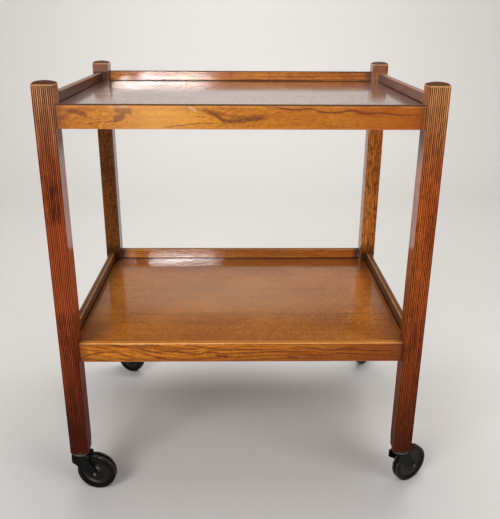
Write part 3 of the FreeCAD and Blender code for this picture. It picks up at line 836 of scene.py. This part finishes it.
def railMarks(level, side, board):
    low, high = railBounds(level, side)
    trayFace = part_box(panelNodes[level])[1].z
    run, across, outward = railAxes(side)
    outer = low[across] if outward < 0 else high[across]
    wear, drawn = railWear, faceMarks.get(level + "_" + side)

    def marks(colour, vector, parts):
        z = parts[2]
        onFace = band(parts[across], outer, *wear["faceSkin"])
        # painted shade darkening a rail towards one end, partly also a redder wood tone, and a painted pool
        # of sheen round one place
        if "shadeAlong" in board:
            start, stop, depth = board["shadeAlong"]
            colour = blend(ease(parts[run], start, stop, 0.0, depth), colour, board["shadeAlongTone"])
        if "sheenPool" in board:
            centre, depth = board["sheenPool"]
            sheenPool = band(parts[run], centre, 0.0, wear["sheenPoolReach"]) * depth
            colour = blend(sheenPool, colour, board["sheenPoolTone"])
        # painted shade: the lower part of the outer face darker
        footShade = fade(z, *near(low.z, wear["footSpan"]), board["footShade"])
        colour = blend(footShade * onFace, colour, railOak["dark"])
        if drawn:
            colour = drawnMarks(colour, vector, parts, onFace, drawn)
        # top worn dark on some rails and lightened on others as painted light and reflection; arrises rubbed,
        # with painted highlight; on the front ones, painted highlight lines at the top and the foot
        top = ease(z, *near(high.z, wear["topSpan"]), 0.0, board["topShade"])
        colour = blend(top, colour, board["topWearAndLight"])
        patch = noise(vector, *wear["patches"])
        arrises = [low[across] + wear["arrisIn"], high[across] - wear["arrisIn"]]
        for arris, depth in zip(arrises[::-outward], board["rubbedAndHighlit"]):
            aside, below = parts[across] - arris, z - (high.z - wear["arrisDown"])
            rubAndHighlight = fade(calc("SQRT", aside * aside + below * below), *wear["arrisSpan"])
            rubAndHighlight = rubAndHighlight * ease(patch, *wear["rubAndHighlightMask"], depth * wear["rubAndHighlightShare"], depth)
            colour = blend(rubAndHighlight, colour, railOak["arris"])
        if side == "front":
            down, sheenHalf, sheenSoft = wear["sheenPlace"]
            sheen = band(z, high.z + down, sheenHalf, sheenSoft) * onFace
            sheen = sheen * ease(patch, *wear["sheenMask"], 0.0, board["sheenLine"])
            colour = blend(sheen, colour, railOak["arris"])
            foot = fade(z, *near(low.z, wear["footLine"]), wear["footLineDepth"])
            colour = blend(foot * onFace, colour, railOak["footHighlightTone"])
        # dark line in the corner above the tray: dirt and old polish, with a painted contact shadow
        outerHalf = band(parts[across], outer, (high - low)[across] * 0.5, wear["insideSoftness"])
        soilAndShadow = band(z, trayFace, *wear["soilAndShadowSpan"]) * (wear["soilAndShadowDepth"] - outerHalf * wear["soilAndShadowDepth"])
        colour = blend(soilAndShadow, colour, railOak["joint"])
        # painted shade near the legs, dark joints at them, and beside them a light eased edge, rubbed and
        # with a painted highlight
        for end, depth in zip((low[run], high[run]), board["legJointShade"]):
            legJointShade = band(parts[run], end, wear["legJointShadeStart"], board["legJointShadeReach"])
            colour = blend(legJointShade * depth, colour, board["legJointShadeTone"])
            bright = band(parts[run], end, *wear["edgeSpan"]) * onFace
            colour = blend(bright * board["edgeLine"], colour, railOak["arris"])
            joint = band(parts[run], end, *wear["jointSpan"])
            colour = blend(joint * wear["jointDepth"], colour, railOak["joint"])
        start, stop, share = board["coatFade"]
        gloss = ease(parts[run], start, stop, 1.0, share)
        return colour, largest(top * board["topDull"], soilAndShadow), gloss

    return marks


for place, ownBoard in railPlaces.items():
    level, side = place.split("_")
    board = {**railOak, "grain": "XY"[railAxes(side)[0]], **ownBoard}
    oak = oakMaterial("railOak_" + place, board, railMarks(level, side, board))
    finishPiece(addRail(level, side), "rail_" + place, oak, frameBody, place + "_rail")
print("rails made")


panelOak = {
    "upper": {
        "grain": "X", "shift": (0.4, 0.3, 0.0), "pith": (0.10, 0.45), "ringDepth": 0.35, "ringPitch": 0.009,
        "pale": tone(118, 68, 36), "mid": tone(94, 52, 27), "dark": tone(56, 28, 15),
        "roughness": 0.32, "coat": 1.0, "coatRoughness": 0.10, "bump": 0.14, "poreDull": 0.45},
    "lower": {
        "grain": "X", "shift": (1.4, 0.1, 0.0), "pith": (0.05, 0.10), "ringDepth": 0.08, "ringPitch": 0.011,
        "pale": tone(220, 130, 30), "mid": tone(196, 108, 22), "dark": tone(140, 70, 12),
        "cloudScale": (9.0, 16.0), "mottleScale": (150.0, 190.0), "mottleDepth": 0.42,
        "poreScale": (220.0, 620.0), "poreDepth": 0.45, "poreDull": 0.50,
        "fleckScale": (260.0, 190.0), "fleckDepth": 0.42, "fleck": tone(236, 164, 84),
        "roughness": 0.36, "specular": 0.08, "coat": 0.76, "coatRoughness": 0.050, "bump": 0.12,
        "coatPatch": 0.32, "patchScale": (180.0, 260.0)},
}

panelWear = {
    "seams": {"upper": (), "lower": (-0.088, 0.033, 0.154)},  # narrow joints between the boards
    "seamSpan": (0.0003, 0.0009),
    "seamDepth": 0.75,
    "seamTone": tone(70, 34, 18),
    "rippleTurn": -60.0,  # the wood's rays cross the grain, seen as slanting ripples, their pale colour partly a painted reflection
    "rays": ((70.0, 170.0, 1.0), 2.0, 0.5, 0.8),  # repeats per metre, detail, roughness and distortion
    "rayMask": (0.50, 0.62),
    "patches": ((7.0, 12.0, 1.0), 2.0, 0.5),
    "patchMask": (0.42, 0.60),
    "rippleDepth": {"upper": 0.12, "lower": 0.28},
    "rippleTone": tone(232, 168, 104),
    "rearSpan": (-0.150, -0.010),
    "rearShade": {"upper": 0.0, "lower": 0.75},  # painted shade: darkened strip before the back rail
    "shade": tone(92, 44, 18),
    "middleSheenX": (-0.04, 0.08, 0.16),  # centre, half width and softness of the paler middle, a painted reflection
    "middleSheenY": (0.0, 0.03, 0.12),
    "middleSheen": {"upper": 0.0, "lower": 0.40},
    "middleSheenTone": tone(248, 168, 88),
    "edges": ((0.060, 0.62), (0.030, 0.45)),  # reach and depth of the painted shade along end and long rails
    "railShadeTone": tone(70, 32, 16),
    "soilAndShadowSpan": (0.0010, 0.0036),
    "soilAndShadowDepth": 0.80,
    "soilAndShadow": tone(24, 13, 9),
    "underSpan": (-0.0024, -0.0010),
    "underDepth": 0.8,
    "under": tone(72, 47, 30),  # underside painted dark as shade, and unpolished
}


def panelMarks(level):
    reach = (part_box(level + "_right_rail")[0].x, -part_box(level + "_front_rail")[1].y)
    face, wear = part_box(panelNodes[level])[1].z, panelWear

    def marks(colour, vector, parts):
        x, y, z = parts
        for seam in wear["seams"][level]:
            colour = blend(band(y, seam, *wear["seamSpan"]) * wear["seamDepth"], colour, wear["seamTone"])
        # slanting ripples, in patches: ray figure, partly a painted reflection
        turn = {"Vector": vector, "Rotation": (0.0, 0.0, math.radians(wear["rippleTurn"]))}
        slanting = Field(vector.tree, addNode(vector.tree, "Mapping", turn).outputs[0])
        rays, patch = noise(slanting, *wear["rays"]), noise(vector, *wear["patches"])
        ripple = ease(rays, *wear["rayMask"]) * ease(patch, *wear["patchMask"]) * wear["rippleDepth"][level]
        colour = blend(ripple, colour, wear["rippleTone"])
        rear = ease(y, *near(reach[1], wear["rearSpan"]), 0.0, wear["rearShade"][level])
        colour = blend(rear, colour, wear["shade"])
        # paler in the middle, a painted reflection of the backdrop
        middleSheen = band(x, *wear["middleSheenX"]) * band(y, *wear["middleSheenY"]) * wear["middleSheen"][level]
        colour = blend(middleSheen, colour, wear["middleSheenTone"])
        # painted shade along the rails, and at their foot a dark line of dirt with a painted contact shadow
        dull = ripple
        for place, limit, (edgeReach, edgeDepth) in zip((x, y), reach, wear["edges"]):
            gap = limit - abs(place)
            colour = blend(fade(gap, 0.0, edgeReach, edgeDepth), colour, wear["railShadeTone"])
            soilAndShadow = fade(gap, *wear["soilAndShadowSpan"], wear["soilAndShadowDepth"])
            colour = blend(soilAndShadow, colour, wear["soilAndShadow"])
            dull = largest(dull, soilAndShadow)
        under = fade(z, *near(face, wear["underSpan"]))
        colour = blend(under * wear["underDepth"], colour, wear["under"])
        return colour, largest(dull, under), 1.0

    return marks


for level, node in panelNodes.items():
    oak = oakMaterial("panelOak_" + level, panelOak[level], panelMarks(level))
    for slot in nodes[node].material_slots:
        slot.material = oak
print("panels finished")


castorLook = {
    "enamelCloud": ((160.0, 160.0, 160.0), 4.0, 0.6),  # repeats per metre, detail and roughness of a noise
    "scuffMask": (0.45, 0.75),
    "scuffTone": tone(60, 54, 46),
    "enamelMask": (0.35, 0.60, 0.35, 1.0),
    "rubbedAndHighlitTone": tone(86, 82, 74),
    "smearMask": (0.3, 0.7),
    "enamelSmear": (-0.07, 0.10),  # how far the roughness strays
    "bump": 0.15,
    "bumpDistance": 0.0002,
    "steelCloud": ((240.0, 240.0, 240.0), 4.0, 0.65),
    "steelMask": (0.35, 0.65, 0.5, 1.0),
    "rimSpan": (0.0008, 0.0016),  # height above a cup's lower rim over which its polish and painted highlight end
    "steelSmear": (-0.08, 0.12),
}


def meshRubAndGlint(tree):
    # how bright the mesh says that each place is, rubbed and with a painted glint
    return Field(tree, addNode(tree, "Attribute", {}, attribute_name="rubAndGlint").outputs["Fac"])


def blackEnamel(name, colour, rough, scuff, specular):
    # black, scuffed in patches, and rubbed pale with a painted highlight where the mesh says so
    material, shader, vector, parts = startMaterial(name)
    look = castorLook
    cloud = noise(vector, *look["enamelCloud"])
    colour = blend(ease(cloud, *look["scuffMask"], 0.0, scuff), colour, look["scuffTone"])
    rubbedAndHighlit = meshRubAndGlint(vector.tree) * ease(cloud, *look["enamelMask"])
    feed(shader.inputs["Base Color"], blend(rubbedAndHighlit, colour, look["rubbedAndHighlitTone"]))
    feed(shader.inputs["Roughness"], ease(cloud, *look["smearMask"], *near(rough, look["enamelSmear"])))
    feed(shader.inputs["Specular IOR Level"], specular)
    emboss(cloud, look["bump"], look["bumpDistance"], shader.inputs["Normal"])
    return material


def wornSteel(name, colour, rough, polishAndGlint, rimHeight=0.0):
    # dull steel, polished and with a painted glint where the mesh says so and along a cup's lower rim
    material, shader, vector, parts = startMaterial(name)
    look = castorLook
    cloud = noise(vector, *look["steelCloud"])
    worn = largest(meshRubAndGlint(vector.tree), fade(parts[2], *near(rimHeight, look["rimSpan"])))
    feed(shader.inputs["Base Color"], blend(worn * ease(cloud, *look["steelMask"]), colour, polishAndGlint))
    feed(shader.inputs["Roughness"], ease(cloud, *look["smearMask"], *near(rough, look["steelSmear"])))
    feed(shader.inputs["Metallic"], 1.0)
    return material


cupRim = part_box("castor_cup_front_left")[0].z
castorFinish = {
    "fork": blackEnamel("forkEnamel", tone(8, 10, 8), 0.36, 0.12, 0.07),
    "wheel": blackEnamel("wheelBlack", tone(18, 13, 10), 0.42, 0.16, 0.16),
    "tyre": blackEnamel("tyreRubber", tone(7, 7, 6), 0.24, 0.10, 0.10),
    "axle": wornSteel("axleSteel", tone(26, 24, 22), 0.50, tone(104, 100, 92)),
    "cup": wornSteel("cupSteel", tone(44, 39, 35), 0.60, tone(132, 124, 112), cupRim),
}

# outlines are given as (radius, distance along the axis)
castorShape = {
    "trail": 0.027,
    "wheelRadius": 0.036,
    "rimRadius": 0.0275,
    "rimFace": 0.0060,
    "tyreSlack": 0.00002,
    "tyreHalf": 0.008,
    "tyreShoulder": 0.0030,
    "shoulderArc": (88, 12, 8),  # first and last angle in degrees, and steps between them
    "shoulderStep": ((-0.0012, 0.0), (-0.0008, -0.0002)),  # moulded step below the shoulder
    "treadCrown": 14,  # drop of the tread per square of the distance from its middle
    "groovePlace": 0.0025,
    "grooveDepth": 0.0012,
    "grooveHalf": 0.0007,
    "grooveFlare": 1.6,  # width at the mouth, as a share of the width at the bottom
    "wheelSteps": 96,
    "hubEnd": 0.0107,
    "hubRadius": 0.0058,
    "hubRound": 0.0016,
    "hubArc": (78, 15, 4),
    "web": ((0.0082, 0.0080), (0.0098, 0.0062), (0.0128, 0.0048), (0.0160, 0.0042), (0.0196, 0.0042),
            (0.0206, 0.0044), (0.0216, 0.0050), (0.0229, 0.0061), (0.0236, 0.0065), (0.0268, 0.0066),
            (0.0273, 0.0064)),
    "boreRadius": 0.00306,
    "axleRadius": 0.003,
    "axleSteps": 40,
    "forkHalf": 0.013,
    "headRadius": 0.0048,
    "headHeight": 0.0019,
    "headDome": ((0.0, 1.0), (0.45, 0.96), (0.78, 0.72), (0.96, 0.36)),  # shares of radius and height
    "headFoot": 0.0003,
    "headTuck": 0.97,
    "rubAndGlintRadius": 0.0023,  # bright middle of a rivet head, worn and a painted glint
    "treadDepth": 0.0006,  # how far below its crest the tread still meets the floor
    "treadBand": (0.0034, 0.0058),  # part of the tread, from its middle, that the floor has rubbed pale, also a painted highlight
    "cupBore": 0.00402,
    "cupWall": 0.0016,
    "cupShoulder": 0.0030,
    "cupArc": (75, 10, 5),
    "cupTuck": 0.0004,  # from the rolled edge in to the wall
    "cupRoll": (0.0016, 0.0011, 0.0003),  # heights of the rolled edge
    "cupSteps": 64,
    "forkEase": (0.0003, 2),  # width and segments of its eased edges
    "flatAngle": 1.0,  # degrees between two faces that count as one
    "sharpAngle": 40.0,
}


def spunBody(outline, centre, axis, steps):
    # turns a closed outline once round the axis
    bm = bmesh.new()
    side = Vector((1.0, 0.0, 0.0))
    ring = [bm.verts.new(centre + side * radius + axis * place) for radius, place in outline]
    edges = [bm.edges.new(pair) for pair in zip(ring, ring[1:] + ring[:1])]
    bmesh.ops.spin(bm, geom=ring + edges, cent=centre, axis=axis, angle=2 * math.pi, steps=steps,
                   use_merge=True)
    bmesh.ops.remove_doubles(bm, verts=bm.verts, dist=mergeReach)
    return bm


def arc(centre, radius, start, stop, steps):
    # points on an arc from one angle to another, in degrees
    angles = [math.radians(start + (stop - start) * step / steps) for step in range(steps + 1)]
    return [(centre[0] + radius * math.cos(angle), centre[1] + radius * math.sin(angle)) for angle in angles]


def bothSides(half):
    return half + [(radius, -place) for radius, place in reversed(half)]


def tyreOutline():
    shape = castorShape
    half, outer, shoulder = shape["tyreHalf"], shape["wheelRadius"], shape["tyreShoulder"]
    side = [(shape["rimRadius"] + shape["tyreSlack"], half)]
    side += [(outer - shoulder + inward, half + down) for inward, down in shape["shoulderStep"]]
    side += arc((outer - shoulder, half - shoulder), shoulder, *shape["shoulderArc"])
    # one groove, in a tread that is a little crowned
    deep, bottom = shape["grooveDepth"], shape["grooveHalf"]
    mouth = bottom * shape["grooveFlare"]
    for depth, away in ((0.0, mouth), (deep, bottom), (deep, -bottom), (0.0, -mouth)):
        place = shape["groovePlace"] + away
        side.append((outer - depth - place ** 2 * shape["treadCrown"], place))
    return bothSides(side)


def wheelOutline():
    shape = castorShape
    hubEnd, hubRadius, hubRound = shape["hubEnd"], shape["hubRadius"], shape["hubRound"]
    side = [(shape["boreRadius"], hubEnd), (hubRadius, hubEnd)]
    side += arc((hubRadius, hubEnd - hubRound), hubRound, *shape["hubArc"])
    return bothSides(side + list(shape["web"]) + [(shape["rimRadius"], shape["rimFace"])])


def axleOutline():
    shape = castorShape
    radius, height, forkHalf = shape["headRadius"], shape["headHeight"], shape["forkHalf"]
    side = [(radius * share, forkHalf + height * rise) for share, rise in shape["headDome"]]
    side += [(radius, forkHalf + shape["headFoot"]), (radius * shape["headTuck"], forkHalf)]
    return bothSides(side + [(shape["axleRadius"], forkHalf)])


def cupOutline(low, high):
    # pressed cup with a rolled lower edge
    shape = castorShape
    radius, bore, wall = (high.x - low.x) / 2, shape["cupBore"], shape["cupWall"]
    tuck, shoulder = shape["cupTuck"], shape["cupShoulder"]
    rollTop, rollUpper, rollLower = [low.z + height for height in shape["cupRoll"]]
    outline = [(bore, high.z), (radius - tuck - shoulder, high.z)]
    outline += arc((radius - tuck - shoulder, high.z - shoulder), shoulder, *shape["cupArc"])
    outline += [(radius - tuck, rollTop), (radius, rollUpper), (radius, rollLower), (radius - tuck, low.z)]
    return outline + [(radius - wall, low.z), (radius - wall, high.z - wall), (bore, high.z - wall)]


def softenedFork(corner):
    # the fork's own shape with its sharp edges eased
    shape = castorShape
    bm = bmesh.new()
    bm.from_mesh(nodes["castor_fork_" + corner].data)
    bmesh.ops.remove_doubles(bm, verts=bm.verts, dist=mergeReach)
    bmesh.ops.dissolve_limit(bm, angle_limit=math.radians(shape["flatAngle"]), verts=bm.verts, edges=bm.edges)
    sharp = [edge for edge in bm.edges if len(edge.link_faces) == 2
             and edge.calc_face_angle(0.0) > math.radians(shape["sharpAngle"])]
    softenEdges(bm, sharp, *shape["forkEase"])
    return bm


def markRubAndGlint(bm, hub, chosen):
    # marks the places that wear has rubbed and that carry a painted glint, as the finishes read them
    rubAndGlint = bm.verts.layers.float.new("rubAndGlint")
    for vert in bm.verts:
        fromAxis = math.hypot(vert.co.x - hub.x, vert.co.z - hub.z)
        vert[rubAndGlint] = 1.0 if chosen(fromAxis, abs(vert.co.y)) else 0.0


def castorPlace(corner):
    # turns and moves a castor that was made beside the origin, its wheel running along X
    swivel = joints["castor_swivel_" + corner]
    axis = Vector(joints["wheel_spin_" + corner]["axis"])
    turn = math.atan2(-axis.x, axis.y)
    return Matrix.Translation((swivel["pos_m"][0], swivel["pos_m"][1], 0.0)) @ Matrix.Rotation(turn, 4, "Z")


def addCastor(corner):
    shape = castorShape
    hub = Vector((shape["trail"], 0.0, shape["wheelRadius"]))
    cross = Vector((0.0, 1.0, 0.0))
    shapes = {
        "tyre": spunBody(tyreOutline(), hub, cross, shape["wheelSteps"]),
        "wheel": spunBody(wheelOutline(), hub, cross, shape["wheelSteps"]),
        "axle": spunBody(axleOutline(), hub, cross, shape["axleSteps"]),
    }
    tread, (start, stop) = shape["wheelRadius"] - shape["treadDepth"], shape["treadBand"]
    markRubAndGlint(shapes["tyre"], hub, lambda fromAxis, away: fromAxis > tread and start < away < stop)
    markRubAndGlint(shapes["axle"], hub, lambda fromAxis, away: fromAxis < shape["rubAndGlintRadius"])
    for bm in shapes.values():
        bmesh.ops.transform(bm, matrix=castorPlace(corner), verts=bm.verts)
    cupLow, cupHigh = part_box("castor_cup_" + corner)
    spot = Vector(((cupLow.x + cupHigh.x) / 2, (cupLow.y + cupHigh.y) / 2, 0.0))
    shapes["cup"] = spunBody(cupOutline(cupLow, cupHigh), spot, Vector((0.0, 0.0, 1.0)), shape["cupSteps"])
    shapes["fork"] = softenedFork(corner)
    wheelBody, swivelBody = "wheel_" + corner, "swivel_" + corner
    bodies = {"tyre": wheelBody, "wheel": wheelBody, "axle": swivelBody, "cup": frameBody, "fork": swivelBody}
    for kind, bm in shapes.items():
        finishPiece(bm, "castor" + kind.title() + "_" + corner, castorFinish[kind], bodies[kind],
                    "castor_" + kind + "_" + corner)
    for kind in ("stem", "bearing"):
        for slot in nodes["castor_" + kind + "_" + corner].material_slots:
            slot.material = castorFinish["axle"]


for corner in cornerNames:
    addCastor(corner)
print("castors made")


stageLook = {
    "floorSize": 14.0,
    "wallPlace": 2.7,
    "wallHeight": 5.0,
    "sweepRadius": 0.9,
    "sweepArc": (-80, 0, 10),  # first and last angle in degrees, and steps between them
    "floor": tone(212, 208, 204),
    "cloud": ((1.2, 1.2, 1.2), 2.0, 0.5),  # repeats per metre, detail and roughness of a noise
    "cloudMask": (0.3, 0.7),
    "cloudDepth": 0.06,
    "cloudTone": tone(190, 188, 184),
    "roughness": 0.75,
    "upperSpan": (1.50, 1.70),
    "upperWall": tone(66, 63, 60),  # painted dark above, standing in for shade, out of the camera's view, mirrored in the front of the shelf
}


def addStage():
    # floor that curves up into a plain backdrop
    look = stageLook
    material, shader, vector, parts = startMaterial("palePaper")
    cloud = ease(noise(vector, *look["cloud"]), *look["cloudMask"], 0.0, look["cloudDepth"])
    colour = blend(cloud, look["floor"], look["cloudTone"])
    feed(shader.inputs["Base Color"], blend(ease(parts[2], *look["upperSpan"]), colour, look["upperWall"]))
    feed(shader.inputs["Roughness"], look["roughness"])
    radius, wall, half = look["sweepRadius"], look["wallPlace"], look["floorSize"] / 2
    profile = [(-half, 0.0), (wall - radius, 0.0)]
    profile += [(wall - radius + y, radius + z) for y, z in arc((0.0, 0.0), radius, *look["sweepArc"])]
    profile += [(wall, look["wallHeight"])]
    bm = bmesh.new()
    ring = [bm.verts.new((-half, y, z)) for y, z in profile]
    edges = [bm.edges.new(pair) for pair in zip(ring, ring[1:])]
    moveExtruded(bm, bmesh.ops.extrude_edge_only(bm, edges=edges), (2 * half, 0.0, 0.0))
    makeObject(bm, "paperSweep", material)


softBoxes = {
    "key": {"place": (-1.5, -2.4, 2.2), "aim": (0.0, 0.0, 0.40), "size": (1.3, 1.3), "power": 46.0},
    "windowLow": {"place": (-0.475, -2.4, 0.96), "aim": (-0.2, 0.2, 0.65), "size": (0.56, 0.18),
                  "power": 17.0, "mirroredOnly": True},
    "windowHigh": {"place": (-0.41, -2.4, 1.28), "aim": (-0.2, 0.2, 0.30), "size": (0.50, 0.09),
                   "power": 62.0, "mirroredOnly": True},
    "fill": {"place": (2.0, -2.0, 1.5), "aim": (0.0, 0.0, 0.35), "size": (1.6, 1.6), "power": 33.0},
    "top": {"place": (0.2, 0.5, 2.9), "aim": (0.0, 0.0, 0.40), "size": (1.6, 1.6), "power": 38.0},
    "wall": {"place": (0.0, 0.9, 2.6), "aim": (0.0, 2.7, 0.8), "size": (2.0, 2.0), "power": 28.0},
    "wallPool": {"place": (-0.1, 1.9, 1.9), "aim": (-0.1, 2.7, 1.45), "size": (0.3, 0.3), "power": 3.0},
}


def addLight(name, box):
    data = bpy.data.lights.new(name, "AREA")
    data.shape = "RECTANGLE"
    data.size, data.size_y = box["size"]
    data.energy = box["power"]
    light = bpy.data.objects.new(name, data)
    light.location = box["place"]
    aim = Vector(box["aim"]) - light.location
    light.rotation_euler = aim.to_track_quat("-Z", "Y").to_euler()
    light.visible_camera = False
    light.visible_diffuse = not box.get("mirroredOnly", False)
    bpy.context.scene.collection.objects.link(light)


roomLook = {
    "light": (0.97, 0.98, 1.0, 1.0),
    "strength": 0.30,
    "surround": tone(222, 220, 216),
}


def addWorld():
    # dim room light, with a pale surround where the camera sees past the paper
    world = bpy.data.worlds.new("paleRoom")
    world.use_nodes = True
    tree = world.node_tree
    room = tree.nodes["Background"]
    feed(room.inputs["Color"], roomLook["light"])
    feed(room.inputs["Strength"], roomLook["strength"])
    surround = addNode(tree, "Background", {"Color": roomLook["surround"]})
    path = addNode(tree, "LightPath", {})
    seen, through, mirrored = [Field(tree, path.outputs["Is " + kind + " Ray"])
                               for kind in ("Camera", "Transmission", "Glossy")]
    shown = {0: largest(largest(seen, through), mirrored), 1: Field(tree, room.outputs[0]),
             2: Field(tree, surround.outputs[0])}
    mixed = addNode(tree, "MixShader", shown)
    feed(tree.nodes["World Output"].inputs["Surface"], Field(tree, mixed.outputs[0]))
    bpy.context.scene.world = world


cameraLook = {
    "place": (-0.0044, -1.2181, 0.8299),
    "down": 20.70,  # degrees below the horizon
    "right": 1.036,  # degrees to the right of straight ahead
    "roll": 0.335,
    "lens": 45.15,
    "sensor": 36.0,
}


def addCamera():
    data = bpy.data.cameras.new("trolleyCamera")
    data.lens = cameraLook["lens"]
    data.sensor_width = cameraLook["sensor"]
    camera = bpy.data.objects.new("trolleyCamera", data)
    turn = Matrix.Rotation(-math.radians(cameraLook["right"]), 4, "Z")
    nod = Matrix.Rotation(math.radians(90.0 - cameraLook["down"]), 4, "X")
    roll = Matrix.Rotation(math.radians(cameraLook["roll"]), 4, "Z")
    camera.matrix_world = Matrix.Translation(cameraLook["place"]) @ turn @ nod @ roll
    bpy.context.scene.collection.objects.link(camera)
    bpy.context.scene.camera = camera


addStage()
for lightName, box in softBoxes.items():
    addLight(lightName + "SoftBox", box)
addWorld()
addCamera()
bpy.context.scene.view_settings.view_transform = "Standard"
print("stage, light and camera set")
